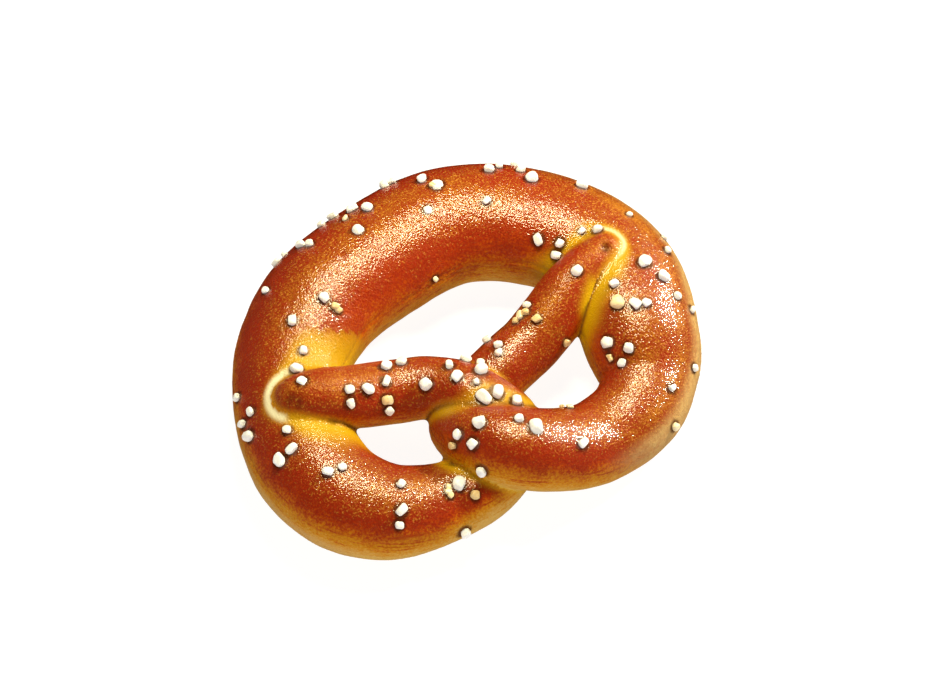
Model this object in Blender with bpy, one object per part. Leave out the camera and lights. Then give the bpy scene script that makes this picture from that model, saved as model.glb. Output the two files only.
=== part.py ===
"""Soft pretzel: one rope of dough, thick at the belly, twisted and laid back over itself.

The rope runs from the left tip down the left arm, through the twist, round the left lobe,
over the belly, round the right lobe, back through the twist and up the right arm. It is
swept as one tube, fused where it crosses itself, and cut flat where it sat on the tray.
Metres, +Z up. The origin is under the middle of the pretzel's box, and +Y points at the
belly, so the twist lies towards -Y.
"""

import bmesh
import bpy
import numpy as np

MM = 0.001

# The belly is an arc of an oval, and the right shoulder was laid a little wider.
BELLY_CENTRE = (0.5, -10.5)
BELLY_RADII = (53.0, 46.5)
SHOULDER_CENTRE = (2.0, -8.0)
SHOULDER_RADII = (54.0, 48.0)

# Each lobe is an arc of a smaller oval that continues the belly.
LEFT_LOBE_CENTRE = (-28.5, -19.5)
LEFT_LOBE_RADII = (25.0, 25.0)
RIGHT_LOBE_CENTRE = (24.0, -18.5)
RIGHT_LOBE_RADII = (25.5, 26.5)

# The rope's half width at angles round those ovals; 90 degrees is the belly's middle.
LEFT_LOBE_GIRTHS = ((-92, 12.3), (-118, 13.8), (-146, 15.2), (-176, 15.8))
LEFT_BELLY_GIRTHS = ((170, 15.9), (150, 16.6), (127, 18.0), (100, 18.8))
RIGHT_BELLY_GIRTHS = ((73, 18.8), (46, 18.2), (20, 17.3))
RIGHT_LOBE_GIRTHS = ((-4, 16.8), (-30, 14.0), (-58, 13.0), (-86, 12.6))

# The rope is lower than it is wide, and this share of its half height is flat underneath.
BODY_HEIGHT_SHARE = 0.82
ARM_HEIGHT_SHARE = 0.93
TRAY_SINK = 0.15

# The strands wind half a turn round each other: a lower crossing, side by side, an upper
# crossing. Steps are those three places along Y, measured from the twist's middle.
TWIST_MIDDLE = (-4.0, -31.0, 13.4)
TWIST_RADIUS = 6.0
TWIST_RISE = 4.6
LEFT_TWIST_START = -90
LEFT_TWIST_STEPS = (-9.5, -3.5, 7.0)
LEFT_TWIST_SIZES = ((9.4, 8.8), (8.3, 8.8), (9.2, 8.4))
RIGHT_TWIST_START = 90
RIGHT_TWIST_STEPS = (-9.5, 3.0, 12.0)
RIGHT_TWIST_SIZES = ((11.4, 10.4), (9.8, 9.8), (9.4, 9.0))

# Each arm's middle (x, y, z) and half width: it hangs over the gap and climbs on to the body.
LEFT_ARM = (
    (-13.8, -13.1, 15.5, 9.3),
    (-23.9, -9.6, 15.0, 9.3),
    (-36.2, -8.5, 18.5, 8.9),
    (-45.0, -6.9, 21.8, 7.8),
    (-52.3, -4.8, 22.8, 5.6),
)
RIGHT_ARM = (
    (9.0, -13.1, 11.0, 9.2),
    (18.5, -9.8, 12.0, 9.2),
    (28.6, -5.3, 15.5, 9.0),
    (37.8, -0.2, 20.0, 7.4),
    (45.1, 2.8, 22.8, 5.8),
    (50.3, 4.4, 24.0, 4.6),
)

# The sweep: ring spacing along the rope, corners round it, rings in each rounded tip.
RING_SPACING = 3.8
RING_CORNERS = 28
TIP_RINGS = 4
TIP_ROUNDING = 0.8

TRAY_CUTTER_SIZE = 300.0
CRUST_COLOUR = (0.45, 0.13, 0.02, 1.0)
CRUST_ROUGHNESS = 0.38


def body_stations(centre, radii, girths):
    """Stations (x, y, z, half width, half height) on an oval, resting on the tray."""
    stations = []
    for degrees, half_width in girths:
        angle = np.radians(degrees)
        half_height = half_width * BODY_HEIGHT_SHARE
        stations.append(
            (
                centre[0] + radii[0] * np.cos(angle),
                centre[1] + radii[1] * np.sin(angle),
                half_height * (1 - TRAY_SINK),
                half_width,
                half_height,
            )
        )
    return stations


def twist_stations(start_degrees, steps, sizes):
    """A strand's three stations in the twist, a quarter turn apart, lower crossing first."""
    stations = []
    for quarter, (step, size) in enumerate(zip(steps, sizes)):
        phase = np.radians(start_degrees + 90 * quarter)
        stations.append(
            (
                TWIST_MIDDLE[0] + TWIST_RADIUS * np.cos(phase),
                TWIST_MIDDLE[1] + step,
                TWIST_MIDDLE[2] + TWIST_RISE * np.sin(phase),
                *size,
            )
        )
    return stations


def arm_stations(places):
    """An arm's stations from just past its upper crossing to its tip on the body."""
    return [
        (x, y, z, half_width, half_width * ARM_HEIGHT_SHARE)
        for x, y, z, half_width in places
    ]


def rope_stations():
    """Every station of the rope, from the left tip to the right tip, in millimetres."""
    left_twist = twist_stations(LEFT_TWIST_START, LEFT_TWIST_STEPS, LEFT_TWIST_SIZES)
    right_twist = twist_stations(RIGHT_TWIST_START, RIGHT_TWIST_STEPS, RIGHT_TWIST_SIZES)
    return np.array(
        [
            *reversed(arm_stations(LEFT_ARM)),
            *reversed(left_twist),
            *body_stations(LEFT_LOBE_CENTRE, LEFT_LOBE_RADII, LEFT_LOBE_GIRTHS),
            *body_stations(BELLY_CENTRE, BELLY_RADII, LEFT_BELLY_GIRTHS),
            *body_stations(SHOULDER_CENTRE, SHOULDER_RADII, RIGHT_BELLY_GIRTHS),
            *body_stations(RIGHT_LOBE_CENTRE, RIGHT_LOBE_RADII, RIGHT_LOBE_GIRTHS),
            *right_twist,
            *arm_stations(RIGHT_ARM),
        ]
    )


def smooth_route(stations, spacing):
    """Cubic curve through the stations, sampled about every spacing along the rope."""
    steps = np.diff(stations, axis=0)
    gaps = np.linalg.norm(steps[:, :3], axis=1)
    knots = np.concatenate([[0], np.cumsum(gaps)])
    chords = steps / gaps[:, None]
    inner = (chords[:-1] * gaps[1:, None] + chords[1:] * gaps[:-1, None]) / (
        gaps[:-1] + gaps[1:]
    )[:, None]
    slopes = np.vstack([chords[:1], inner, chords[-1:]])

    places = np.linspace(0, knots[-1], round(knots[-1] / spacing) + 1)
    span = np.clip(np.searchsorted(knots, places, side="right") - 1, 0, len(gaps) - 1)
    gap = gaps[span][:, None]
    t = (places - knots[span])[:, None] / gap
    return (
        stations[span] * (1 + 2 * t) * (1 - t) ** 2
        + stations[span + 1] * (3 - 2 * t) * t**2
        + slopes[span] * gap * t * (1 - t) ** 2
        - slopes[span + 1] * gap * (1 - t) * t**2
    )


def section_frames(route):
    """Unit vectors along, across and up from the rope at each sample of its route."""
    along = np.gradient(route[:, :3], axis=0)
    along /= np.linalg.norm(along, axis=1)[:, None]
    across = np.cross(along, (0, 0, 1))
    across /= np.linalg.norm(across, axis=1)[:, None]
    return along, across, np.cross(across, along)


def rounded_end(sample, outwards):
    """Shrinking samples that close the rope's end in a dome, each with its share of size."""
    dome = []
    for ring in range(1, TIP_RINGS):
        angle = np.pi / 2 * ring / TIP_RINGS
        reach = sample[3] * TIP_ROUNDING * np.sin(angle)
        dome.append(
            [*(sample[:3] + outwards * reach), *(sample[3:] * np.cos(angle))]
        )
    pole = sample[:3] + outwards * sample[3] * TIP_ROUNDING
    return np.array(dome), pole


def rope_mesh(stations):
    """The rope as one closed tube that still passes through itself."""
    route = smooth_route(stations, RING_SPACING)
    along, across, up = section_frames(route)
    first_dome, first_pole = rounded_end(route[0], -along[0])
    last_dome, last_pole = rounded_end(route[-1], along[-1])

    samples = np.vstack([first_dome[::-1], route, last_dome])
    before, after = [0] * len(first_dome), [-1] * len(last_dome)
    across = np.vstack([across[before], across, across[after]])[:, None]
    up = np.vstack([up[before], up, up[after]])[:, None]

    turn = np.linspace(0, 2 * np.pi, RING_CORNERS, endpoint=False)[None, :, None]
    half_width = samples[:, None, 3:4]
    half_height = samples[:, None, 4:5]
    rings = (
        samples[:, None, :3]
        + across * half_width * np.cos(turn)
        + up * half_height * np.sin(turn)
    )
    middle = (rings.min(axis=(0, 1)) + rings.max(axis=(0, 1))) / 2
    shift = np.array([middle[0], middle[1], 0.0])

    mesh = bmesh.new()
    loops = [[mesh.verts.new((p - shift) * MM) for p in ring] for ring in rings]
    for ring, following in zip(loops, loops[1:]):
        for corner in range(RING_CORNERS):
            beside = (corner + 1) % RING_CORNERS
            mesh.faces.new(
                (ring[corner], ring[beside], following[beside], following[corner])
            )
    for ring, pole in ((loops[0], first_pole), (loops[-1], last_pole)):
        tip = mesh.verts.new((pole - shift) * MM)
        for corner in range(RING_CORNERS):
            mesh.faces.new((ring[corner], ring[(corner + 1) % RING_CORNERS], tip))
    bmesh.ops.recalc_face_normals(mesh, faces=mesh.faces)
    return mesh


def crust_material():
    """Glossy brown crust."""
    material = bpy.data.materials.new("crust")
    material.use_nodes = True
    shader = material.node_tree.nodes["Principled BSDF"]
    shader.inputs["Base Color"].default_value = CRUST_COLOUR
    shader.inputs["Roughness"].default_value = CRUST_ROUGHNESS
    shader.inputs["Metallic"].default_value = 0.0
    return material


def tray_cutter():
    """A block under the tray's surface, which cuts the underside flat."""
    size = TRAY_CUTTER_SIZE * MM
    bpy.ops.mesh.primitive_cube_add(size=size, location=(0, 0, -size / 2))
    cutter = bpy.context.object
    cutter.name = "tray_cutter"
    cutter.hide_render = True
    cutter.display_type = "WIRE"
    return cutter


def make_pretzel():
    """The pretzel: the swept rope, fused with itself and cut flat underneath."""
    data = bpy.data.meshes.new("pretzel")
    mesh = rope_mesh(rope_stations())
    mesh.to_mesh(data)
    mesh.free()
    data.shade_smooth()
    data.materials.append(crust_material())
    pretzel = bpy.data.objects.new("pretzel", data)
    bpy.context.collection.objects.link(pretzel)

    cut = pretzel.modifiers.new("flat_underside", "BOOLEAN")
    cut.operation = "DIFFERENCE"
    cut.object = tray_cutter()
    cut.solver = "EXACT"
    cut.use_self = True
    return pretzel


def main():
    for old in list(bpy.data.objects):
        bpy.data.objects.remove(old)
    make_pretzel()


main()
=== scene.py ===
"""Soft pretzel, finished: the baked dough with its crust, the coarse salt and a plain studio.

The dough follows the same rope as the solid in the frame: left tip, left arm, twist, left
lobe, belly, right lobe, twist, right arm, right tip. Here the strands melt into each other
where they touch, the skin is uneven, and the crust is browned, stretched and glazed. The salt
is real grains that sit in the skin. Classes keep their sizes in millimetres and make their
meshes in metres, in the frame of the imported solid: +Z up, +Y towards the belly.
"""

from __future__ import annotations

import logging
from dataclasses import dataclass, field
from enum import Enum

import bmesh
import bpy
import numpy as np
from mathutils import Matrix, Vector, noise
from mathutils.bvhtree import BVHTree

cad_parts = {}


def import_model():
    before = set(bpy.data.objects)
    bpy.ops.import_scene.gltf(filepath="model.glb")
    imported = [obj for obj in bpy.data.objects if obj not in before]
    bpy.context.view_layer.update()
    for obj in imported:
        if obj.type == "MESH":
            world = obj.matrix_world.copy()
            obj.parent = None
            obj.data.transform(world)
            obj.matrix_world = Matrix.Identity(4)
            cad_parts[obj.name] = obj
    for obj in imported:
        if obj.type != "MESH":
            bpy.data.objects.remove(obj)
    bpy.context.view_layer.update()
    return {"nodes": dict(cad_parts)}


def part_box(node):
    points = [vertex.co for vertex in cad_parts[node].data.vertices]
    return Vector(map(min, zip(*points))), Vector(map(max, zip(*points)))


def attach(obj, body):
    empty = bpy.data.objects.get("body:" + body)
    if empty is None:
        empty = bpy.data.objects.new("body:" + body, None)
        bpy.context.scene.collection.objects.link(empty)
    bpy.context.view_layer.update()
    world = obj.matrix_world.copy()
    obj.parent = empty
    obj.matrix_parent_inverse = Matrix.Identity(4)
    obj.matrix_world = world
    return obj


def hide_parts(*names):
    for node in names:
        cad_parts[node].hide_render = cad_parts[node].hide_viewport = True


MM = 0.001
NODE = "pretzel"

log = logging.getLogger("pretzel")


def ease(values: np.ndarray, start: float, end: float) -> np.ndarray:
    """Smooth step from 0 at start to 1 at end, where end may be below start.

    Args:
        values: Where to read the step.
        start: The value that gives 0.
        end: The value that gives 1.

    Returns:
        One share from 0 to 1 for each value.
    """
    share = np.clip((values - start) / (end - start), 0.0, 1.0)
    return share * share * (3 - 2 * share)


def unevenness(points: np.ndarray, wavelength: float, seed: float) -> np.ndarray:
    """Smooth random waves in space.

    Args:
        points: Places in millimetres, one row each.
        wavelength: Size of a wave in millimetres.
        seed: Shifts the waves, so that two uses differ.

    Returns:
        One value for each point, about -1 to 1.
    """
    scaled = points / wavelength + seed
    return np.array([noise.noise(Vector(row)) for row in scaled])


class Crossing(Enum):
    """How a strand starts at the lower crossing of the twist: its turn there, in degrees."""

    UNDER = -90
    OVER = 90


@dataclass(frozen=True)
class Oval:
    """An oval in the plan, on which a stretch of the rope lies."""

    centre: tuple[float, float]
    radii: tuple[float, float]

    def at(self, degrees: float) -> tuple[float, float]:
        """The point at an angle round the oval."""
        angle = np.radians(degrees)
        return (
            self.centre[0] + self.radii[0] * float(np.cos(angle)),
            self.centre[1] + self.radii[1] * float(np.sin(angle)),
        )


@dataclass(frozen=True)
class Strand:
    """One strand's way through the twist: where it starts, its steps along Y and its sizes."""

    start: Crossing
    steps: tuple[float, float, float]
    sizes: tuple[tuple[float, float], ...]


@dataclass(frozen=True)
class Rope:
    """The dough rope's route and girth, with the same sizes as the solid in the frame."""

    belly: Oval = Oval((0.5, -10.5), (53.0, 46.5))
    shoulder: Oval = Oval((2.0, -8.0), (54.0, 48.0))
    left_lobe: Oval = Oval((-28.5, -19.5), (25.0, 25.0))
    right_lobe: Oval = Oval((24.0, -18.5), (25.5, 26.5))
    left_lobe_girths: tuple = ((-92, 12.3), (-118, 13.8), (-146, 15.2), (-176, 15.8))
    left_belly_girths: tuple = ((170, 15.9), (150, 16.6), (127, 18.0), (100, 18.8))
    right_belly_girths: tuple = ((73, 18.8), (46, 18.2), (20, 17.3))
    right_lobe_girths: tuple = ((-4, 16.8), (-30, 14.0), (-58, 13.0), (-86, 12.6))
    body_height_share: float = 0.82
    arm_height_share: float = 0.93
    tray_sink: float = 0.15
    twist_middle: tuple[float, float, float] = (-4.0, -31.0, 13.4)
    twist_radius: float = 6.0
    twist_rise: float = 4.6
    left_strand: Strand = Strand(
        Crossing.UNDER, (-9.5, -3.5, 7.0), ((9.4, 8.8), (8.3, 8.8), (9.2, 8.4))
    )
    right_strand: Strand = Strand(
        Crossing.OVER, (-9.5, 3.0, 12.0), ((11.4, 10.4), (9.8, 9.8), (9.4, 9.0))
    )
    left_arm: tuple = (
        (-13.8, -13.1, 15.5, 9.3),
        (-23.9, -9.6, 15.0, 9.3),
        (-36.2, -8.5, 18.5, 8.9),
        (-45.0, -6.9, 21.8, 7.8),
        (-52.3, -4.8, 22.8, 5.6),
    )
    right_arm: tuple = (
        (9.0, -13.1, 11.0, 9.2),
        (18.5, -9.8, 12.0, 9.2),
        (28.6, -5.3, 15.5, 9.0),
        (37.8, -0.2, 20.0, 7.4),
        (45.1, 2.8, 22.8, 5.8),
        (50.3, 4.4, 24.0, 4.6),
    )
    tip_rounding: float = 0.8
    sample_spacing: float = 0.5

    def _on_oval(self, oval: Oval, girths: tuple) -> list[tuple[float, ...]]:
        """Stations of a stretch that rests on the tray.

        Args:
            oval: The oval that the stretch follows.
            girths: Pairs of an angle round the oval and the half width there.

        Returns:
            Stations (x, y, z, half width, half height), one for each pair.
        """
        stations = []
        for degrees, half_width in girths:
            half_height = half_width * self.body_height_share
            middle_height = half_height * (1 - self.tray_sink)
            stations.append((*oval.at(degrees), middle_height, half_width, half_height))
        return stations

    def _in_twist(self, strand: Strand) -> list[tuple[float, ...]]:
        """A strand's three stations in the twist, a quarter turn apart.

        Args:
            strand: The strand's start, steps and sizes.

        Returns:
            Stations (x, y, z, half width, half height), the lower crossing first.
        """
        x, y, z = self.twist_middle
        stations = []
        for quarter, (step, size) in enumerate(zip(strand.steps, strand.sizes)):
            phase = np.radians(strand.start.value + 90 * quarter)
            stations.append(
                (
                    x + self.twist_radius * float(np.cos(phase)),
                    y + step,
                    z + self.twist_rise * float(np.sin(phase)),
                    *size,
                )
            )
        return stations

    def _along_arm(self, places: tuple) -> list[tuple[float, ...]]:
        """Stations of an arm, from its places (x, y, z, half width)."""
        share = self.arm_height_share
        return [(x, y, z, half, half * share) for x, y, z, half in places]

    def stations(self) -> np.ndarray:
        """Every station of the rope.

        Returns:
            Rows (x, y, z, half width, half height), from the left tip to the right tip.
        """
        return np.array(
            [
                *reversed(self._along_arm(self.left_arm)),
                *reversed(self._in_twist(self.left_strand)),
                *self._on_oval(self.left_lobe, self.left_lobe_girths),
                *self._on_oval(self.belly, self.left_belly_girths),
                *self._on_oval(self.shoulder, self.right_belly_girths),
                *self._on_oval(self.right_lobe, self.right_lobe_girths),
                *self._in_twist(self.right_strand),
                *self._along_arm(self.right_arm),
            ]
        )

    def route(self) -> np.ndarray:
        """A smooth curve through the stations.

        Returns:
            Rows like the stations', one every sample_spacing along the rope.
        """
        stations = self.stations()
        steps = np.diff(stations, axis=0)
        gaps = np.linalg.norm(steps[:, :3], axis=1)
        knots = np.concatenate([[0], np.cumsum(gaps)])
        chords = steps / gaps[:, None]
        weights = (gaps[:-1] + gaps[1:])[:, None]
        inner = (chords[:-1] * gaps[1:, None] + chords[1:] * gaps[:-1, None]) / weights
        slopes = np.vstack([chords[:1], inner, chords[-1:]])

        count = round(knots[-1] / self.sample_spacing) + 1
        places = np.linspace(0, knots[-1], count)
        span = np.searchsorted(knots, places, side="right") - 1
        span = np.clip(span, 0, len(gaps) - 1)
        gap = gaps[span][:, None]
        t = (places - knots[span])[:, None] / gap
        return (
            stations[span] * (1 + 2 * t) * (1 - t) ** 2
            + stations[span + 1] * (3 - 2 * t) * t**2
            + slopes[span] * gap * t * (1 - t) ** 2
            - slopes[span + 1] * gap * (1 - t) * t**2
        )


@dataclass
class Touch:
    """What the points of a surface know about the strands near them.

    Attributes:
        depth: Signed distance to the melted surface, below 0 inside.
        slope: Its direction of growth, a unit vector for each point.
        sample: The nearest strand's sample.
        other: The next strand's sample.
        gap: Distance to the surface of the next strand.
        own: How much of the surface is the nearest strand's, 0.5 in a crease and 1 clear of it.
        above: How much higher the next strand lies than the nearest one.
        lift: Height in the nearest strand's own section, from -1 to 1.
        girth: Place round that section in millimetres, 0 on top.
        side: Place across the next strand, above 0 on its right as the rope runs.
    """

    depth: np.ndarray
    slope: np.ndarray
    sample: np.ndarray
    other: np.ndarray
    gap: np.ndarray
    own: np.ndarray
    above: np.ndarray
    lift: np.ndarray
    girth: np.ndarray
    side: np.ndarray


class Strands:
    """The rope as a field in space: how far a point is from the melted strands' surface."""

    apart: float = 26.0
    melt: float = 2.0
    base_edge: float = 1.6
    slack: float = 3.0
    stride: int = 5
    batch: int = 20000

    def __init__(self, rope: Rope, middle: Vector) -> None:
        """Samples the rope and moves it so that its box's middle is at a place.

        Args:
            rope: The rope's sizes.
            middle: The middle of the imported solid's box, in metres.
        """
        route = rope.route()
        along = np.gradient(route[:, :3], axis=0)
        steps = np.linalg.norm(along, axis=1)
        self.along = along / steps[:, None]
        across = np.cross(self.along, (0, 0, 1))
        self.across = across / np.linalg.norm(across, axis=1)[:, None]
        self.up = np.cross(self.across, self.along)
        self.half_width = route[:, 3]
        self.half_height = route[:, 4]
        self.tip_length = rope.tip_rounding
        self.place = np.concatenate([[0], np.cumsum(steps)[:-1]])
        self.centre = route[:, :3]
        rings = self.rings(48)
        box_middle = (rings.min(axis=(0, 1)) + rings.max(axis=(0, 1))) / 2
        shift = (middle.x / MM - box_middle[0], middle.y / MM - box_middle[1], 0.0)
        self.centre = self.centre + shift
        self.twist = (rope.twist_middle[0] + shift[0], rope.twist_middle[1] + shift[1])

    def rings(self, corners: int) -> np.ndarray:
        """Oval rings round the rope, one for each sample.

        Args:
            corners: Points in a ring.

        Returns:
            Points, in millimetres, as samples x corners x 3.
        """
        turn = np.linspace(0, 2 * np.pi, corners, endpoint=False)[None, :, None]
        return (
            self.centre[:, None]
            + self.across[:, None] * self.half_width[:, None, None] * np.cos(turn)
            + self.up[:, None] * self.half_height[:, None, None] * np.sin(turn)
        )

    def _away(self, along: np.ndarray, across: np.ndarray, up: np.ndarray, sample: np.ndarray) -> np.ndarray:
        """Rough distance from a sample's oval, for places in that sample's own axes."""
        flat = np.sqrt(across**2 + up**2)
        oval = np.sqrt((across / self.half_width[sample]) ** 2 + (up / self.half_height[sample]) ** 2)
        return np.sqrt(along**2 + flat**2) - flat / np.maximum(oval, 1e-6)

    def _ranked(self, points: np.ndarray) -> np.ndarray:
        """The samples of the three strand stretches closest to each point, nearest first.

        Every few samples are tried first, and then the ones beside the best of those.
        """
        tried = np.arange(0, len(self.place), self.stride)
        places = [
            points @ axis[tried].T - (self.centre[tried] * axis[tried]).sum(axis=1)
            for axis in (self.along, self.across, self.up)
        ]
        away = self._away(*places, tried)
        beside = np.arange(-self.stride, self.stride + 1)
        ranked = []
        for _ in range(3):
            rough = tried[away.argmin(axis=1)]
            near = np.clip(rough[:, None] + beside, 0, len(self.place) - 1)
            offset = points[:, None] - self.centre[near]
            inner = [(offset * axis[near]).sum(axis=2) for axis in (self.along, self.across, self.up)]
            best = self._away(*inner, near).argmin(axis=1)
            nearest = near[np.arange(len(points)), best]
            ranked.append(nearest)
            same = np.abs(self.place[tried][None, :] - self.place[nearest][:, None]) < self.apart
            away = np.where(same, 1e6, away)
        return np.stack(ranked, axis=1)

    def _section(self, points: np.ndarray, sample: np.ndarray, nearest: bool) -> tuple[np.ndarray, ...]:
        """Reads one sample's oval for each point.

        Args:
            points: Places in millimetres, one row each.
            sample: One sample for each point.
            nearest: Whether it is the nearest of all. Of another stretch, the sample may be one
                that the point lies well beyond, and then the distance takes that in.

        Returns:
            The distance to the oval, its slope, and the lift and girth of the place in the oval.
        """
        offset = points - self.centre[sample]
        along = (offset * self.along[sample]).sum(axis=1)
        across = (offset * self.across[sample]).sum(axis=1)
        up = (offset * self.up[sample]).sum(axis=1)
        wide = self.half_width[sample]
        high = self.half_height[sample]
        long = wide * self.tip_length
        last = len(self.place) - 1
        past_tip = ((sample == 0) & (along < 0)) | ((sample == last) & (along > 0))
        capped = np.where(past_tip, along, 0.0)
        size = np.sqrt((across / wide) ** 2 + (up / high) ** 2 + (capped / long) ** 2)
        grown = (
            self.across[sample] * (across / wide**2)[:, None]
            + self.up[sample] * (up / high**2)[:, None]
            + self.along[sample] * (capped / long**2)[:, None]
        )
        steep = np.maximum(np.linalg.norm(grown, axis=1), 1e-6)
        away = size * (size - 1) / steep
        if not nearest:
            beyond = np.where(past_tip, 0.0, np.maximum(np.abs(along) - self.slack, 0.0))
            away = np.where(beyond > 0, np.hypot(np.maximum(away, 0.0), beyond), away)
        girth = np.arctan2(across / wide, up / high) * (wide + high) / 2
        return away, grown / steep[:, None], up / high, girth

    def touch(self, points: np.ndarray) -> Touch:
        """Reads the field.

        Args:
            points: Places in millimetres, one row each.

        Returns:
            The distance to the melted surface and what lies round each point.
        """
        ranked = np.vstack(
            [
                self._ranked(points[start : start + self.batch])
                for start in range(0, len(points), self.batch)
            ]
        )
        first, first_slope, lift, girth = self._section(points, ranked[:, 0], True)
        second, second_slope, _, _ = self._section(points, ranked[:, 1], False)
        third, third_slope, _, _ = self._section(points, ranked[:, 2], False)
        depth, slope = self._melted(first, first_slope, second, second_slope, self.melt)
        depth, slope = self._melted(depth, slope, third, third_slope, self.melt)
        tray = np.broadcast_to((0.0, 0.0, 1.0), slope.shape)
        depth, slope = self._melted(-depth, -slope, points[:, 2], tray, self.base_edge)
        heights = self.centre[:, 2]
        other = ranked[:, 1]
        return Touch(
            depth=-depth,
            slope=-slope / np.maximum(np.linalg.norm(slope, axis=1), 1e-6)[:, None],
            sample=ranked[:, 0],
            other=other,
            gap=np.maximum(second, 0.0),
            own=np.clip(0.5 + 0.5 * (second - first) / self.melt, 0.5, 1.0),
            above=heights[other] - heights[ranked[:, 0]],
            lift=lift,
            girth=girth,
            side=((points - self.centre[other]) * self.across[other]).sum(axis=1),
        )

    @staticmethod
    def _melted(
        one: np.ndarray, one_slope: np.ndarray, other: np.ndarray, other_slope: np.ndarray, melt: float
    ) -> tuple[np.ndarray, np.ndarray]:
        """The lower of two fields, rounded where they are nearly equal.

        Args:
            one: The first field's values.
            one_slope: The first field's slopes.
            other: The second field's values.
            other_slope: The second field's slopes.
            melt: How near the values are where the rounding starts.

        Returns:
            The joined values and slopes.
        """
        share = np.clip(0.5 + 0.5 * (other - one) / melt, 0, 1)
        value = other * (1 - share) + one * share - melt * share * (1 - share)
        slope = other_slope * (1 - share)[:, None] + one_slope * share[:, None]
        return value, slope


Colour = tuple[float, float, float, float]


@dataclass
class Painter:
    """Builds a material's nodes with short calls."""

    name: str
    material: bpy.types.Material = field(init=False)

    def __post_init__(self) -> None:
        """Makes the material with its plain shader and output."""
        self.material = bpy.data.materials.new(self.name)
        self.material.use_nodes = True
        self.tree = self.material.node_tree
        self.shader = self.tree.nodes["Principled BSDF"]

    def node(self, kind: str, inputs: dict | None = None, **settings: object) -> bpy.types.Node:
        """Adds a node.

        Args:
            kind: Blender's node type.
            inputs: Values or output sockets for its inputs, by name or number.
            **settings: The node's own properties.

        Returns:
            The new node.
        """
        made = self.tree.nodes.new(kind)
        for key, value in settings.items():
            setattr(made, key, value)
        for key, value in (inputs or {}).items():
            self.feed(made.inputs[key], value)
        return made

    def feed(self, socket: bpy.types.NodeSocket, value: object) -> None:
        """Links a socket to an output, or sets its value."""
        if isinstance(value, bpy.types.NodeSocket):
            self.tree.links.new(value, socket)
        else:
            socket.default_value = value

    def attribute(self, name: str) -> bpy.types.NodeSocket:
        """A number kept on the mesh's points."""
        return self.node("ShaderNodeAttribute", attribute_name=name).outputs["Fac"]

    def maths(self, operation: str, *values: object) -> bpy.types.NodeSocket:
        """One step of arithmetic on numbers, kept between 0 and 1 only where said by the step."""
        step = self.node("ShaderNodeMath", operation=operation)
        for socket, value in zip(step.inputs, values):
            self.feed(socket, value)
        return step.outputs[0]

    def spread(self, value: object, low: float, high: float, to: tuple = (0.0, 1.0)) -> bpy.types.NodeSocket:
        """Stretches a number smoothly from a range to another range.

        Args:
            value: The number's socket.
            low: Where the result is the first of the new range.
            high: Where it is the second.
            to: The new range.

        Returns:
            The result's socket.
        """
        made = self.node(
            "ShaderNodeMapRange",
            {"Value": value, "From Min": low, "From Max": high, "To Min": to[0], "To Max": to[1]},
            interpolation_type="SMOOTHSTEP",
        )
        return made.outputs["Result"]

    def noise(self, where: object, size: float, detail: float = 2.0, rough: float = 0.5) -> bpy.types.NodeSocket:
        """Random waves.

        Args:
            where: The coordinates' socket, in metres.
            size: A wave's size in millimetres.
            detail: How many finer waves are added.
            rough: How strong the finer waves are.

        Returns:
            A socket with values round 0.5.
        """
        made = self.node(
            "ShaderNodeTexNoise",
            {"Vector": where, "Scale": 1 / (size * MM), "Detail": detail, "Roughness": rough},
        )
        return made.outputs["Fac"]

    def ramp(self, value: object, stops: tuple[tuple[float, Colour], ...]) -> bpy.types.NodeSocket:
        """Colours along a number.

        Args:
            value: The number's socket.
            stops: Pairs of a number and its colour, in rising order.

        Returns:
            The colour's socket.
        """
        low, high = stops[0][0], stops[-1][0]
        share = self.maths("MULTIPLY_ADD", value, 1 / (high - low), -low / (high - low))
        made = self.node("ShaderNodeValToRGB", {"Fac": share})
        elements = made.color_ramp.elements
        for number, colour in stops[1:-1]:
            elements.new((number - low) / (high - low)).color = colour
        elements[0].color = stops[0][1]
        elements[-1].color = stops[-1][1]
        return made.outputs["Color"]

    def blend(self, share: object, low: object, high: object) -> bpy.types.NodeSocket:
        """Mixes two colours by a share."""
        made = self.node("ShaderNodeMix", data_type="RGBA")
        self.feed(made.inputs["Factor"], share)
        self.feed(made.inputs["A"], low)
        self.feed(made.inputs["B"], high)
        return made.outputs["Result"]


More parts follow.
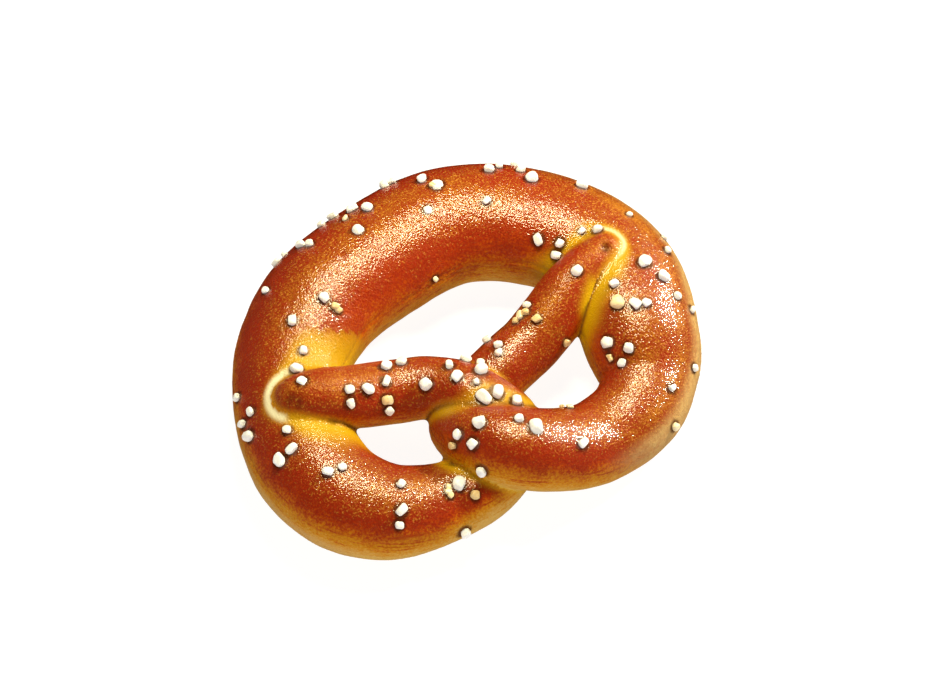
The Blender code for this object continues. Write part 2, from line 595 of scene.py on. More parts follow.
@dataclass(frozen=True)
class CrustFinish:
    """The baked skin: lye-browned on top, golden low on the sides and pale where it stretched.

    The browning runs along one number, the bake: about 1 on the crest of a strand and 0 at the
    middle of its side.
    """

    browning: tuple[tuple[float, Colour], ...] = (
        (-0.40, (0.600, 0.340, 0.070, 1.0)),
        (0.05, (0.530, 0.200, 0.002, 1.0)),
        (0.30, (0.450, 0.105, 0.001, 1.0)),
        (0.50, (0.345, 0.032, 0.001, 1.0)),
        (0.68, (0.270, 0.012, 0.002, 1.0)),
        (0.88, (0.250, 0.017, 0.002, 1.0)),
        (1.05, (0.270, 0.046, 0.003, 1.0)),
        (1.30, (0.400, 0.120, 0.006, 1.0)),
    )
    stretched: Colour = (0.530, 0.290, 0.001, 1.0)
    fleck: Colour = (0.620, 0.260, 0.030, 1.0)
    cream: Colour = (0.860, 0.750, 0.460, 1.0)
    # Painted shadow: the dark ring round each salt grain, standing in for its contact shadow.
    socket: Colour = (0.060, 0.009, 0.003, 1.0)
    # Painted shade: the near-black brown laid into the creases where strands meet and into the dimples.
    crease_shade: Colour = (0.045, 0.007, 0.003, 1.0)
    # Painted light: a pale band on the outer side of the right shoulder and lobe, and low along the left lobe's
    # outer edge, where light grazes the skin.
    rim_light: Colour = (0.540, 0.310, 0.100, 1.0)
    underside: Colour = (0.300, 0.110, 0.025, 1.0)
    sheen: Colour = (1.0, 0.55, 0.18, 1.0)
    sheen_roughness: float = 0.42
    pebble: float = 0.54
    pebble_depth: float = 0.20
    fleck_size: float = 0.55
    ripple: float = 1.7
    ripple_depth: float = 0.12
    streak: float = 1.1
    streak_length: float = 0.12
    glaze_roughness: float = 0.08
    glaze_ior: float = 1.6

    def material(self) -> bpy.types.Material:
        """Makes the crust's material."""
        paint = Painter("crust")
        where = paint.node("ShaderNodeTexCoord").outputs["Object"]
        stretch = paint.attribute("stretch")
        bake = self._bake(paint, where)
        colour = paint.ramp(bake, self.browning)
        flecks = paint.spread(paint.noise(where, self.fleck_size, 1.0), 0.56, 0.68, (0.0, 0.55))
        flecks = paint.maths("MULTIPLY", flecks, paint.spread(bake, 0.55, 1.0))
        colour = paint.blend(flecks, colour, self.fleck)
        # Painted light on the outer edges, broken up by noise.
        rim_light = paint.spread(paint.noise(where, self.ripple, 3.0, 0.6), 0.3, 0.7, (0.75, 1.25))
        colour = paint.blend(paint.maths("MULTIPLY", paint.attribute("rim_light"), rim_light), colour, self.rim_light)
        colour = paint.blend(stretch, colour, self.stretched)
        colour = paint.blend(paint.attribute("cream"), colour, self.cream)
        # Painted shade in the creases between strands and in the dimples.
        colour = paint.blend(paint.attribute("crease_shade"), colour, self.crease_shade)
        colour = paint.blend(paint.attribute("base"), colour, self.underside)
        # Painted shadow: a thin dark ring round each salt grain.
        colour = paint.blend(paint.attribute("salt_contact_shade"), colour, self.socket)

        pebbles = paint.maths("MULTIPLY", paint.noise(where, self.pebble, 1.0, 0.5), self.pebble_depth * MM)
        ripples = paint.maths("MULTIPLY", paint.noise(where, self.ripple, 1.0, 0.5), self.ripple_depth * MM)
        bump = paint.node(
            "ShaderNodeBump",
            {"Height": paint.maths("ADD", pebbles, ripples), "Strength": 1.0, "Distance": 1.0},
        )
        glaze = paint.maths("MULTIPLY", paint.attribute("glaze"), paint.spread(bake, 0.25, 0.7))
        paint.feed(paint.shader.inputs["Base Color"], colour)
        paint.shader.inputs["Roughness"].default_value = self.sheen_roughness
        paint.shader.inputs["Specular Tint"].default_value = self.sheen
        paint.feed(paint.shader.inputs["Normal"], bump.outputs["Normal"])
        paint.feed(paint.shader.inputs["Coat Weight"], glaze)
        paint.shader.inputs["Coat Roughness"].default_value = self.glaze_roughness
        paint.shader.inputs["Coat IOR"].default_value = self.glaze_ior
        paint.feed(paint.shader.inputs["Coat Normal"], bump.outputs["Normal"])
        return paint.material

    def _bake(self, paint: Painter, where: bpy.types.NodeSocket) -> bpy.types.NodeSocket:
        """How brown the crust is, with its drifts, mottles, specks and streaks.

        Args:
            paint: The material's painter.
            where: The coordinates' socket, in metres.

        Returns:
            The bake's socket.
        """
        bake = paint.attribute("bake")
        for size, detail, amount in ((26.0, 1.0, 0.08), (7.0, 3.0, 0.09), (0.7, 2.0, 0.14)):
            wave = paint.noise(where, size, detail, 0.6)
            bake = paint.maths("ADD", bake, paint.spread(wave, 0.3, 0.7, (-amount, amount)))
        along = paint.maths("MULTIPLY", paint.attribute("run"), self.streak_length)
        grain = paint.node("ShaderNodeCombineXYZ", {"X": along, "Y": paint.attribute("girth")})
        lines = paint.spread(paint.noise(grain.outputs[0], self.streak, 2.0, 0.6), 0.5, 0.72, (0.0, 0.32))
        low = paint.spread(bake, 0.5, 0.2)
        return paint.maths("ADD", bake, paint.maths("MULTIPLY", lines, low))


@dataclass(frozen=True)
class SaltFinish:
    """Coarse pretzel salt, from chalky white to grains yellowed by the glaze."""

    name: str
    pale: Colour
    dull: Colour
    roughness: float

    def material(self) -> bpy.types.Material:
        """Makes the grains' material, which varies from grain to grain."""
        paint = Painter(self.name)
        where = paint.node("ShaderNodeTexCoord").outputs["Object"]
        cloud = paint.spread(paint.noise(where, 0.8), 0.35, 0.65, (-0.2, 0.2))
        tone = paint.maths("ADD", paint.attribute("tone"), cloud)
        bump = paint.node(
            "ShaderNodeBump",
            {"Height": paint.noise(where, 0.35), "Strength": 1.0, "Distance": 0.03 * MM},
        )
        paint.feed(paint.shader.inputs["Base Color"], paint.blend(tone, self.pale, self.dull))
        paint.feed(paint.shader.inputs["Normal"], bump.outputs["Normal"])
        paint.shader.inputs["Roughness"].default_value = self.roughness
        return paint.material


class Salt(Enum):
    """The kinds of salt on the pretzel."""

    WHITE = SaltFinish("salt_white", (0.95, 0.92, 0.86, 1.0), (0.86, 0.78, 0.66, 1.0), 0.45)
    GLAZED = SaltFinish("salt_glazed", (0.90, 0.76, 0.48, 1.0), (0.76, 0.50, 0.20, 1.0), 0.35)


@dataclass(frozen=True)
class Pinch:
    """A few grains that fell together: the place in the plan, how many, how large, how spread."""

    x: float
    y: float
    size: float = 2.8
    grains: int = 1
    spread: float = 0.0
    kind: Salt = Salt.WHITE


@dataclass(frozen=True)
class Grain:
    """One grain in its place on the crust: the spot, which way is out, its size and kind."""

    spot: Vector
    out: Vector
    size: float
    kind: Salt


@dataclass(frozen=True)
class Tip:
    """The end of an arm, pressed into the body so that a cream ring opens round it.

    Attributes:
        end: Which end of the rope, 0 or -1.
        reach: How far the ring runs from the end.
        opens: The direction in the plan in which the ring opens.
        spread: The turn from that direction where the ring fades, as cosines.
        ring: The ring's width.
        strength: How pale the ring is, up to 1.
    """

    end: int
    reach: float
    opens: tuple[float, float]
    spread: tuple[float, float]
    ring: float
    strength: float


@dataclass
class Dough:
    """The baked dough: one skin over the melted strands."""

    strands: Strands
    voxel: float = 0.7
    quick_voxel: float = 1.1
    settle_rounds: int = 4
    longest_step: float = 0.8
    swell: float = 0.40
    dent: float = 0.13
    pucker: float = 0.04
    fold_width: float = 0.035
    fold_depth: float = 0.28
    folds: tuple = ((0.30, 2.1), (0.17, 8.4), (0.04, 5.3), (-0.12, 3.9), (-0.3, 7.7))
    dimples: tuple = (
        # x, y, radius and depth: the pinched ends of the two arms, and bubbles in the crust. Each also gets
        # painted shade in the crust's colour.
        (-54.0, -7.2, 1.5, 0.7),
        (-52.6, -9.2, 1.1, 0.7),
        (47.8, 2.4, 1.4, 1.2),
        (45.6, 1.6, 0.9, 0.5),
        (-21.1, 32.5, 0.9, 0.35),
        (-58.2, -20.8, 0.8, 0.35),
        (-30.3, -51.4, 0.8, 0.4),
        (32.4, -39.6, 1.0, 0.4),
    )
    stretch_reaches: tuple = (
        # Place along the rope, and how far the pale skin reaches from the other strand there.
        (0, 5.0),
        (45, 8.0),
        (62, 10.0),
        (76, 10.0),
        (84, 4.0),
        (112, 3.5),
        (128, 8.5),
        (150, 8.5),
        (162, 6.0),
        (176, 12.5),
        (192, 12.5),
        (206, 6.0),
        (290, 4.5),
        (305, 6.0),
        (335, 5.5),
        (380, 5.5),
        (392, 7.5),
        (412, 7.5),
        (428, 5.5),
        (434, 1.8),
        (452, 1.8),
        (458, 5.5),
        (484, 5.5),
    )
    tips: tuple[Tip, ...] = (
        Tip(end=0, reach=15.0, opens=(-0.84, 0.54), spread=(-0.2, 0.15), ring=2.6, strength=1.0),
        Tip(end=-1, reach=12.0, opens=(0.9, 0.1), spread=(-0.25, 0.45), ring=1.7, strength=0.8),
    )
    name: str = "dough"

    def build(self) -> bpy.types.Object:
        """Makes the dough's mesh and dresses it.

        Returns:
            The dough, in the scene.
        """
        mesh = self._skin()
        points = self._points(mesh)
        for _ in range(self.settle_rounds):
            touch = self.strands.touch(points)
            step = np.clip(touch.depth, -self.longest_step, self.longest_step)
            points -= touch.slope * step[:, None]
        touch = self.strands.touch(points)
        points += touch.slope * self._relief(points, touch)[:, None]
        points[:, 2] = np.maximum(points[:, 2], 0.0)
        mesh.vertices.foreach_set("co", (points * MM).ravel())
        self._mark(mesh, points, touch)
        mesh.shade_smooth()
        mesh.materials.append(CrustFinish().material())
        dough = bpy.data.objects.new(self.name, mesh)
        bpy.context.collection.objects.link(dough)
        return dough

    @staticmethod
    def _points(mesh: bpy.types.Mesh) -> np.ndarray:
        """The mesh's points in millimetres, one row each."""
        flat = np.zeros(len(mesh.vertices) * 3)
        mesh.vertices.foreach_get("co", flat)
        return flat.reshape(-1, 3) / MM

    def _skin(self) -> bpy.types.Mesh:
        """An even skin of small squares round the swept rope.

        Returns:
            The mesh, one closed body.
        """
        corners = 56
        rings = self.strands.rings(corners)
        domes = []
        for end, sign in ((0, -1), (-1, 1)):
            turn = np.linspace(0, 2 * np.pi, corners, endpoint=False)[:, None]
            wide, high = self.strands.half_width[end], self.strands.half_height[end]
            reach = self.strands.along[end] * sign * wide * self.strands.tip_length
            dome = [
                self.strands.centre[end]
                + reach * np.sin(angle)
                + self.strands.across[end] * wide * np.cos(angle) * np.cos(turn)
                + self.strands.up[end] * high * np.cos(angle) * np.sin(turn)
                for angle in np.radians((18, 36, 54, 72, 86))
            ]
            domes.append(dome)
        rows = np.concatenate([domes[0][::-1], rings, domes[1]])
        points = rows.reshape(-1, 3) * MM
        count = len(rows)
        faces = []
        for row in range(count - 1):
            for corner in range(corners):
                beside = (corner + 1) % corners
                here, there = row * corners, (row + 1) * corners
                faces.append((here + corner, here + beside, there + beside, there + corner))
        faces.append(tuple(range(corners)))
        faces.append(tuple((count - 1) * corners + c for c in range(corners)))
        tube = bpy.data.meshes.new("rope")
        tube.from_pydata(points.tolist(), [], faces)
        draft = bmesh.new()
        draft.from_mesh(tube)
        bmesh.ops.recalc_face_normals(draft, faces=draft.faces)
        draft.to_mesh(tube)
        draft.free()

        rope = bpy.data.objects.new("rope", tube)
        bpy.context.collection.objects.link(rope)
        remesh = rope.modifiers.new("skin", "REMESH")
        remesh.mode = "VOXEL"
        remesh.voxel_size = self.voxel * MM
        shown = rope.evaluated_get(bpy.context.evaluated_depsgraph_get())
        skin = bpy.data.meshes.new_from_object(shown)
        skin.name = self.name
        bpy.data.objects.remove(rope)
        bpy.data.meshes.remove(tube)
        return skin

    def _relief(self, points: np.ndarray, touch: Touch) -> np.ndarray:
        """How far the uneven skin stands out of the smooth strands.

        Args:
            points: The smooth skin's points in millimetres.
            touch: What lies round them.

        Returns:
            Millimetres outwards, one for each point.
        """
        clear_of_tray = ease(points[:, 2], 0.3, 3.0)
        swell = self.swell * unevenness(points, 24.0, 3.7)
        dent = self.dent * unevenness(points, 6.5, 11.3)
        pucker = self.pucker * unevenness(points, 2.2, 31.9)
        relief = (swell + dent + pucker) * clear_of_tray
        upper = touch.above < 2.0
        for x, y, radius, depth in self.dimples:
            away = np.hypot(points[:, 0] - x, points[:, 1] - y) / radius
            relief -= np.where(upper & (touch.slope[:, 2] > 0.1), depth * np.exp(-(away**2)), 0.0)
        run = self.strands.place[touch.sample]
        resting = ease(run, 90.0, 110.0) * ease(run, 385.0, 365.0)
        along = np.stack([run, np.sign(touch.girth) * 40.0, 0 * run], axis=1)
        for lift, seed in self.folds:
            wander = unevenness(along, 15.0, seed)
            strength = ease(unevenness(along, 19.0, seed + 5), -0.25, 0.25) * resting
            away = (touch.lift - lift - 0.09 * wander) / self.fold_width
            relief -= self.fold_depth * strength * np.exp(-(away**2))
        return relief

    def _mark(self, mesh: bpy.types.Mesh, points: np.ndarray, touch: Touch) -> None:
        """Keeps on the mesh what the crust's colours need.

        Args:
            mesh: The dough's mesh.
            points: Its points in millimetres.
            touch: What lies round them.
        """
        place = self.strands.place
        run = place[touch.sample]
        middle = np.array(self.strands.twist)
        in_twist = ease(np.linalg.norm(points[:, :2] - middle, axis=1), 16.0, 9.0)
        left = np.where(touch.sample < len(place) / 2, 1.0, -1.0)
        lower = ease(touch.above + 3.0 * in_twist * left, -1.5, 1.5)
        mine = lower * touch.own + (1 - lower) * (1 - touch.own)
        waver = (1.0 + 0.3 * unevenness(points, 9.0, 51.0)) * (1 - 0.6 * ease(touch.girth, 5.0, -4.0))
        reach = np.interp(run, *np.array(self.stretch_reaches).T)
        stretch = mine * np.exp(-((touch.gap / (reach * waver)) ** 3))

        near_tip = np.zeros(len(points))
        cream = np.zeros(len(points))
        for tip in self.tips:
            away = points - self.strands.centre[tip.end]
            far = np.linalg.norm(away, axis=1)
            facing = (away[:, :2] @ np.array(tip.opens)) / np.maximum(far, 1e-6)
            near = ease(far, tip.reach, tip.reach - 5.0)
            near_tip = np.maximum(near_tip, near)
            ring = ease(touch.gap, tip.ring * 1.35, tip.ring * 0.75) * ease(facing, *tip.spread)
            cream = np.maximum(cream, tip.strength * near * ring)
        from_tip = np.minimum(run, place[-1] - run)
        cream *= ease(mine, 0.5, 0.9)
        side = np.where(touch.above > 0, touch.side, touch.girth)
        joined = ease(run, 463.0, 467.0)
        web = ease(run, 459.0, 464.0) * ease(run, 475.0, 470.0) * ease(touch.side, 0.0, 2.0)
        stretch = np.maximum(stretch, (1 - lower) * web * np.exp(-((touch.gap / 3.0) ** 3)))
        # Painted shade: darker where a strand meets the next one, kept off the tips and lighter in the twist.
        crease_shade = ease(touch.gap, 1.3, 0.2) * ease(side, -1.0, 1.5) * (1 - near_tip)
        crease_shade *= (1 - 0.5 * in_twist) * (1 - joined)
        # The dimples get painted shade too, the deeper ones darker.
        for x, y, radius, depth in self.dimples:
            away = np.hypot(points[:, 0] - x, points[:, 1] - y) / radius
            shade = min(0.95, 0.8 * depth**1.5) * np.exp(-(away**2))
            crease_shade = np.maximum(crease_shade, np.where(touch.above < 2.0, shade, 0.0))

        lift = touch.lift
        belly = ease(run, 165.0, 190.0) * ease(run, 320.0, 295.0)
        arm = ease(from_tip, 60.0, 35.0)
        outer = ease(touch.girth, 0.0, -4.0)
        right = ease(run, 250.0, 285.0) * ease(run, 375.0, 350.0)
        lobe = ease(run, 100.0, 115.0) * ease(run, 180.0, 160.0)
        browner = (0.12 * belly + 0.30 * arm) * ease(lift, 0.95, 0.5)
        # Painted light: the right side's outer flank is pushed towards golden up to near the crest, as if lit
        # from the right.
        golden = 0.35 * right * ease(lift, 0.97, 0.8) * outer
        hidden = ease(run, 78.0, 82.0) * ease(run, 108.0, 96.0)
        paler = 0.15 * lobe * ease(lift, 0.7, 0.3) * outer + 0.4 * hidden * ease(lift, 0.85, 0.4)
        edge = ease(run, 115.0, 135.0) * ease(run, 170.0, 150.0)
        # Painted light: the pale rim on the right side and low on the left lobe's outer edge. The glaze is
        # thinner there.
        rim_light = (right * ease(lift, 0.75, 0.4) + 0.7 * edge * ease(lift, 0.25, 0.0)) * outer
        dull = 0.7 * ease(from_tip, 36.0, 26.0) + 0.25 * ease(from_tip, 16.0, 10.0)
        dull += 0.5 * ease(run, 138.0, 146.0) * ease(run, 190.0, 180.0)
        values = {
            "bake": 0.97 * lift + browner + golden - paler,
            "rim_light": np.clip(rim_light, 0.0, 1.0),
            "glaze": (1 - dull) * (1 - 0.6 * stretch) * (1 - 0.5 * np.clip(rim_light, 0.0, 1.0)),
            "stretch": stretch,
            "cream": cream,
            "crease_shade": crease_shade,
            "base": ease(points[:, 2], 0.7, 0.15),
            "run": run * MM,
            "girth": touch.girth * MM,
        }
        for name, value in values.items():
            kept = mesh.attributes.new(name, "FLOAT", "POINT")
            kept.data.foreach_set("value", value.astype(np.float32))


@dataclass
class SaltScatter:
    """Coarse salt thrown over the pretzel from above."""

    dough: bpy.types.Object
    seed: int = 7
    cuts: int = 7
    sharpness: float = 18.0
    longest_corner: float = 1.1
    sunk: float = 0.24
    height_share: float = 0.78
    drop_height: float = 60.0
    ceiling: float = 29.4
    # The painted shadow round a grain is full within the second distance of its edge and gone beyond the first.
    salt_shade_width: float = 1.1
    salt_shade_edge: float = 0.3
    pinches: tuple[Pinch, ...] = (
        # Over the back of the belly.
        Pinch(11, 48, 2.4, 2, 1.6),
        Pinch(13.5, 42.5, 3.6, 2, 1.4),
        Pinch(12, 44.5, 2.2, 2, 1.8, Salt.GLAZED),
        Pinch(7, 36, 2.9),
        Pinch(30, 43, 3.7),
        Pinch(40, 35, 3.9),
        Pinch(53, 28, 3.2),
        Pinch(24, 32, 3.0),
        Pinch(61, 13, 1.8),
        # The left shoulder.
        Pinch(-8, 45, 3.4),
        Pinch(-11, 48, 2.6, 2, 1.6),
        Pinch(-15, 50, 2.6, 3, 2.6),
        Pinch(-15, 45, 1.9, 1, 0.0, Salt.GLAZED),
        Pinch(-14, 38, 3.4),
        Pinch(-21, 49, 2.8),
        Pinch(-30, 43, 2.9),
        Pinch(-28, 41, 2.8),
        Pinch(-45, 33, 2.0),
        Pinch(-32, 21, 3.0),
        Pinch(-30, 17, 2.2, 2, 1.2, Salt.GLAZED),
        Pinch(-43, 18, 2.7),
        Pinch(2, 20, 2.0, 1, 0.0, Salt.GLAZED),
        # Above the left arm and on its tip.
        Pinch(-44, 8, 2.8),
        Pinch(-48, 3, 3.4),
        Pinch(-49, -4, 3.6),
        # The left side.
        Pinch(-65, 6, 2.8),
        Pinch(-64, -2, 2.7),
        Pinch(-67, -3, 2.7),
        Pinch(-67, -8, 3.6),
        Pinch(-63, -21, 3.4),
        Pinch(-59, -20, 3.5),
        Pinch(-58, -14, 2.7),
        Pinch(-49, -31, 2.9),
        Pinch(-53, -31, 2.9),
        Pinch(-62, -41, 2.4, 2, 2.0, Salt.GLAZED),
        # The left lobe.
        Pinch(-36, -41, 2.6),
        Pinch(-39, -48, 3.4),
        Pinch(-41, -51, 2.5),
        Pinch(-21, -46, 3.9),
        Pinch(-18, -50, 2.7, 1, 0.0, Salt.GLAZED),
        Pinch(-24, -47, 1.9, 3, 2.0, Salt.GLAZED),
        Pinch(-14, -46, 3.3),
        Pinch(-24, -56, 3.6),
        # The left arm.
        Pinch(-25, -6, 3.6),
        Pinch(-20, -6, 2.9),
        Pinch(-33, -12, 2.9),
        Pinch(-38, -11, 2.7),
        Pinch(-39, -14, 3.0),
        Pinch(-27, -11, 2.8),
        Pinch(-29, -15, 2.5, 2, 1.2, Salt.GLAZED),
        Pinch(-29, -17, 3.4),
        Pinch(-17, -16, 3.9),
        Pinch(-9, -14, 2.7),
        # The twist.
        Pinch(-9, -19, 3.8),
        Pinch(-4, -12.5, 2.8, 2, 1.4),
        Pinch(1, -13, 3.2),
        Pinch(-2, -19.5, 3.6),
        Pinch(-5, -23, 2.1),
        Pinch(-5, -28, 3.8),
        Pinch(-1, -28, 3.7),
        Pinch(3, -32, 3.1),
        Pinch(-10, -36, 3.7),
        Pinch(0, -40, 2.5),
        Pinch(3, -44, 3.8),
        Pinch(-16, -35, 2.8),
        Pinch(-18, -36, 2.6, 1, 0.0, Salt.GLAZED),
        Pinch(-14, -40, 3.3),
        # The right arm.
        Pinch(21, -2, 2.6),
        Pinch(18, -4, 2.4, 3, 2.6, Salt.GLAZED),
        Pinch(21, -8, 2.8, 1, 0.0, Salt.GLAZED),
        Pinch(7, -5, 3.0),
        Pinch(8, -10, 2.7),
        Pinch(7, -12.5, 2.7),
        Pinch(27, -15, 2.6, 1, 0.0, Salt.GLAZED),
        # The right shoulder.
        Pinch(33, 16, 3.5),
        Pinch(38, 12, 3.3),
        Pinch(36, 10, 2.9),
        Pinch(45, 12, 1.9),
        Pinch(49, 10, 2.8),
        Pinch(37, -1, 3.1),
        Pinch(45, -9, 2.8),
        Pinch(56, -6, 3.6),
        Pinch(59, -12, 3.3),
        Pinch(43, -15, 3.6, 1, 0.0, Salt.GLAZED),
        Pinch(47, -18, 3.2),
        Pinch(50, -19, 2.9),
        # The right lobe.
        Pinch(36, -23, 3.6),
        Pinch(40, -28, 3.2),
        Pinch(37, -30, 2.4),
        Pinch(35, -27, 1.5, 2, 1.4, Salt.GLAZED),
        Pinch(46, -43, 2.3),
        Pinch(14, -51, 2.9),
        Pinch(62, -21, 2.6, 2, 3.0),
        Pinch(56, -38, 2.2),
        Pinch(43, -50, 2.4, 2, 3.0, Salt.GLAZED),
        Pinch(18, -35, 1.9, 5, 3.4, Salt.GLAZED),
        # Over the far side, out of reach of the hand.
        Pinch(-36, 45, 2.6, 2, 3.0),
        Pinch(2, 53.5, 3.0, 4, 6.0),
        Pinch(38, 45, 2.8, 3, 5.0),
        Pinch(67, 0, 2.2, 2, 4.0),
    )

    def build(self) -> list[bpy.types.Object]:
        """Makes the grains, one joined piece for each kind of salt.

        Returns:
            The salt's pieces, in the scene.
        """
        draws = np.random.default_rng(self.seed)
        grains = self._settled(draws)
        self._paint_salt_shadows(grains)
        return [self._piece(kind, grains, draws) for kind in Salt]

    def _settled(self, draws: np.random.Generator) -> list[Grain]:
        """Drops every pinch on the crust.

        Args:
            draws: The source of random numbers.

        Returns:
            The grains where they came to rest.
        """
        tree = BVHTree.FromObject(self.dough, bpy.context.evaluated_depsgraph_get())
        grains = []
        for pinch in self.pinches:
            for _ in range(pinch.grains):
                shift = draws.normal(0.0, pinch.spread / 2, 2)
                size = pinch.size * draws.uniform(0.85, 1.1)
                above = Vector((pinch.x + shift[0], pinch.y + shift[1], self.drop_height)) * MM
                spot, out, _, _ = tree.ray_cast(above, Vector((0, 0, -1)))
                if spot is not None:
                    grains.append(Grain(spot, out, size, pinch.kind))
        return grains

    def _paint_salt_shadows(self, grains: list[Grain]) -> None:
        """Paints shade on the crust in a thin dark ring round each grain, where the grain's contact shadow
        falls.

        Args:
            grains: All the grains.
        """
        mesh = self.dough.data
        flat = np.zeros(len(mesh.vertices) * 3)
        mesh.vertices.foreach_get("co", flat)
        points = flat.reshape(-1, 3) / MM
        salt_contact_shade = np.zeros(len(points))
        for grain in grains:
            away = np.linalg.norm(points - np.array(grain.spot) / MM, axis=1) - grain.size / 2
            salt_contact_shade = np.maximum(salt_contact_shade, 0.9 * ease(away, self.salt_shade_width, self.salt_shade_edge))
        kept = mesh.attributes.new("salt_contact_shade", "FLOAT", "POINT")
        kept.data.foreach_set("value", salt_contact_shade.astype(np.float32))

    def _piece(self, kind: Salt, grains: list[Grain], draws: np.random.Generator) -> bpy.types.Object:
        """Joins all grains of one kind.

        Args:
            kind: The kind of salt.
            grains: All the grains.
            draws: The source of random numbers.

        Returns:
            The piece, in the scene.
        """
        seedling = bmesh.new()
        bmesh.ops.create_icosphere(seedling, subdivisions=3, radius=1.0)
        ball = np.array([vert.co for vert in seedling.verts])
        triangles = np.array([[vert.index for vert in face.verts] for face in seedling.faces])
        seedling.free()
        points, faces, tones = [], [], []
        for grain in grains:
            if grain.kind is not kind:
                continue
            faces.append(triangles + len(ball) * len(points))
            points.append(self._shape(ball, grain, draws))
            tones.append(np.full(len(ball), draws.uniform(0.0, 1.0)))
        mesh = bpy.data.meshes.new(kind.value.name)
        mesh.from_pydata(np.vstack(points).tolist(), [], np.vstack(faces).tolist())
        tone = mesh.attributes.new("tone", "FLOAT", "POINT")
        tone.data.foreach_set("value", np.concatenate(tones).astype(np.float32))
        mesh.shade_smooth()
        mesh.materials.append(kind.value.material())
        piece = bpy.data.objects.new(kind.value.name, mesh)
        bpy.context.collection.objects.link(piece)
        return piece

    def _shape(self, ball: np.ndarray, grain: Grain, draws: np.random.Generator) -> np.ndarray:
        """One grain: a broken block with worn edges.

        Args:
            ball: Points of a unit ball.
            grain: The grain's place and size.
            draws: The source of random numbers.

        Returns:
            The grain's points in metres.
        """
        block = np.vstack([np.eye(3), -np.eye(3)]) + draws.normal(0.0, 0.22, (6, 3))
        sides = np.vstack([block, draws.normal(size=(self.cuts, 3))])
        sides /= np.linalg.norm(sides, axis=1)[:, None]
        reach = np.concatenate([draws.uniform(0.70, 0.95, 6), draws.uniform(0.85, 1.15, self.cuts)])
        facing = np.maximum(ball @ sides.T, 0.0) / reach
        radius = (facing**self.sharpness).sum(axis=1) + self.longest_corner**-self.sharpness
        shape = ball * (radius ** (-1 / self.sharpness))[:, None]
        half = grain.size / 2
        high = half * self.height_share
        shape *= (half * draws.uniform(1.0, 1.3), half * draws.uniform(0.85, 1.05), high)
        spin = draws.uniform(0, 2 * np.pi)
        out = np.array(grain.out)
        aside = np.cross(out, (np.cos(spin), np.sin(spin), 0.3))
        aside /= np.linalg.norm(aside)
        ahead = np.cross(out, aside)
        centre = np.array(grain.spot) / MM + out * high * (1 - 2 * self.sunk)
        placed = shape @ np.array([aside, ahead, out]) + centre
        placed[:, 2] -= max(placed[:, 2].max() - self.ceiling, 0.0)
        return placed * MM


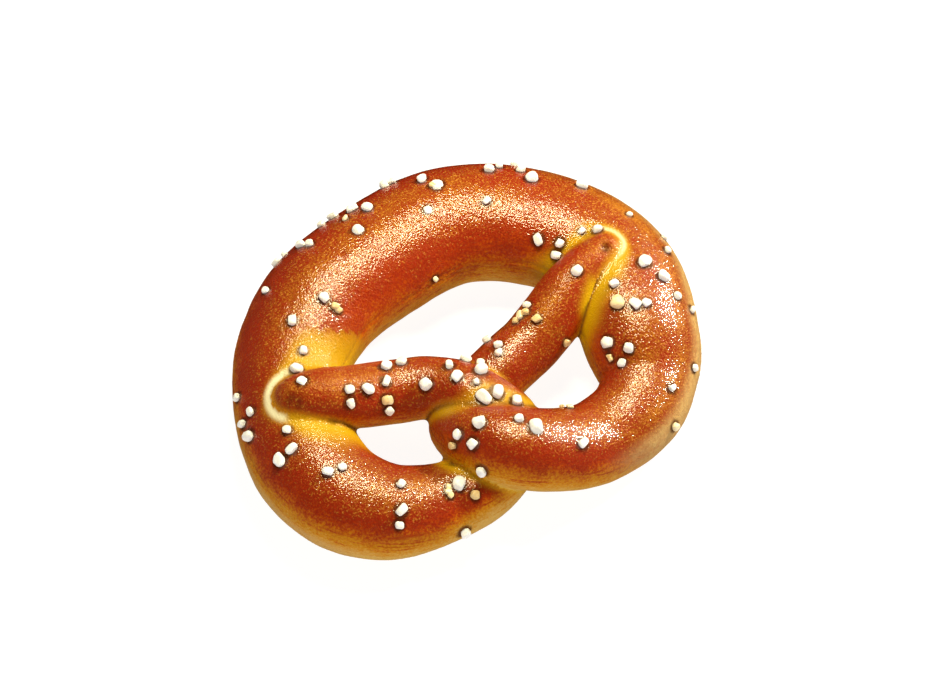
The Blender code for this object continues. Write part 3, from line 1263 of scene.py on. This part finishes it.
@dataclass
class Studio:
    """The plain pale floor, the lights and the camera."""

    floor_size: float = 6.0
    floor_colour: Colour = (0.22, 0.22, 0.22, 1.0)
    floor_glow: float = 0.9
    tent_glow: float = 1.35
    tent_height: float = 0.6
    ceiling_glow: float = 0.15
    azimuth: float = -25.0
    elevation: float = 55.0
    distance: float = 0.7
    lens: float = 93.3
    aim: tuple[float, float, float] = (0.00344, -0.00247, 0.01331)

    def build(self) -> None:
        """Makes the floor, the lights, the surroundings and the camera."""
        self._floor()
        self._camera()
        self._lights()
        view = bpy.context.scene.view_settings
        view.view_transform = "Standard"
        view.look = "None"

    def _outwards(self, azimuth: float, elevation: float) -> Vector:
        """The direction from the pretzel to something seen at an azimuth and elevation, in degrees."""
        turn, rise = np.radians(azimuth), np.radians(elevation)
        return Vector((np.sin(turn) * np.cos(rise), -np.cos(turn) * np.cos(rise), np.sin(rise)))

    def _floor(self) -> None:
        """A wide pale sheet under the pretzel, lit a little from below as on a light table."""
        half = self.floor_size / 2
        corners = [(-half, -half, 0), (half, -half, 0), (half, half, 0), (-half, half, 0)]
        mesh = bpy.data.meshes.new("floor")
        mesh.from_pydata(corners, [], [(0, 1, 2, 3)])
        paint = Painter("floor")
        paint.shader.inputs["Base Color"].default_value = self.floor_colour
        paint.shader.inputs["Roughness"].default_value = 0.9
        paint.shader.inputs["Specular IOR Level"].default_value = 0.1
        paint.shader.inputs["Emission Color"].default_value = (1.0, 1.0, 1.0, 1.0)
        paint.shader.inputs["Emission Strength"].default_value = self.floor_glow
        mesh.materials.append(paint.material)
        floor = bpy.data.objects.new("floor", mesh)
        floor.location = (0, 0, -0.0002)
        floor.visible_glossy = False
        bpy.context.collection.objects.link(floor)

    def _camera(self) -> None:
        """A long lens that looks down on the twist from the front left."""
        data = bpy.data.cameras.new("camera")
        data.lens = self.lens
        data.clip_start = 0.01
        camera = bpy.data.objects.new("camera", data)
        back = self._outwards(self.azimuth, self.elevation)
        camera.location = Vector(self.aim) + back * self.distance
        camera.rotation_euler = (-back).to_track_quat("-Z", "Y").to_euler()
        bpy.context.collection.objects.link(camera)
        bpy.context.scene.camera = camera

    def _light(
        self, name: str, azimuth: float, elevation: float, distance: float, size: tuple, power: float
    ) -> bpy.types.Object:
        """A soft box that faces the pretzel.

        Args:
            name: The light's name.
            azimuth: Where it stands, as a camera's azimuth.
            elevation: How high it stands, in degrees.
            distance: How far it is, in metres.
            size: Its width and height in metres.
            power: Its power in watts.

        Returns:
            The light.
        """
        data = bpy.data.lights.new(name, "AREA")
        data.shape = "RECTANGLE"
        data.size, data.size_y = size
        data.energy = power
        light = bpy.data.objects.new(name, data)
        out = self._outwards(azimuth, elevation)
        light.location = out * distance
        light.rotation_euler = (-out).to_track_quat("-Z", "Y").to_euler()
        bpy.context.collection.objects.link(light)
        return light

    def _lights(self) -> None:
        """A warm box overhead, a strip behind on the right, a soft front and pale surroundings."""
        overhead = self._light("overhead", self.azimuth + 175, 72.0, 0.30, (0.11, 0.045), 0.85)
        overhead.data.color = (1.0, 0.96, 0.62)
        strip = self._light("strip", self.azimuth + 123, 34.0, 0.6, (0.08, 0.04), 4.2)
        strip.data.color = (1.0, 0.96, 0.80)
        front = self._light("front", self.azimuth, 30.0, 0.8, (0.6, 0.4), 2.0)
        front.visible_glossy = False
        world = bpy.data.worlds.new("surroundings")
        world.use_nodes = True
        nodes, links = world.node_tree.nodes, world.node_tree.links
        way = nodes.new("ShaderNodeTexCoord")
        height = nodes.new("ShaderNodeSeparateXYZ")
        fall = nodes.new("ShaderNodeMapRange")
        fall.interpolation_type = "SMOOTHSTEP"
        fall.inputs["From Min"].default_value = 0.0
        fall.inputs["From Max"].default_value = self.tent_height
        fall.inputs["To Min"].default_value = self.tent_glow
        fall.inputs["To Max"].default_value = self.ceiling_glow
        links.new(way.outputs["Generated"], height.inputs[0])
        links.new(height.outputs["Z"], fall.inputs["Value"])
        links.new(fall.outputs["Result"], nodes["Background"].inputs["Strength"])
        nodes["Background"].inputs["Color"].default_value = (1.0, 1.0, 1.0, 1.0)
        world.cycles_visibility.glossy = False
        bpy.context.scene.world = world


def main() -> None:
    """Builds the dough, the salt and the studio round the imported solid."""
    logging.basicConfig(level=logging.INFO, format="%(message)s")
    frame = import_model()
    log.info("frame: %s", ", ".join(frame["nodes"]))
    low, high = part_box(NODE)
    strands = Strands(Rope(), (low + high) / 2)
    dough = Dough(strands).build()
    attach(dough, "root")
    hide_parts(NODE)
    log.info("dough: %d faces", len(dough.data.polygons))
    for piece in SaltScatter(dough).build():
        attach(piece, "root")
        log.info("%s: %d faces", piece.name, len(piece.data.polygons))
    Studio().build()
    log.info("studio: floor, two lights and a camera")


if __name__ == "__main__":
    main()
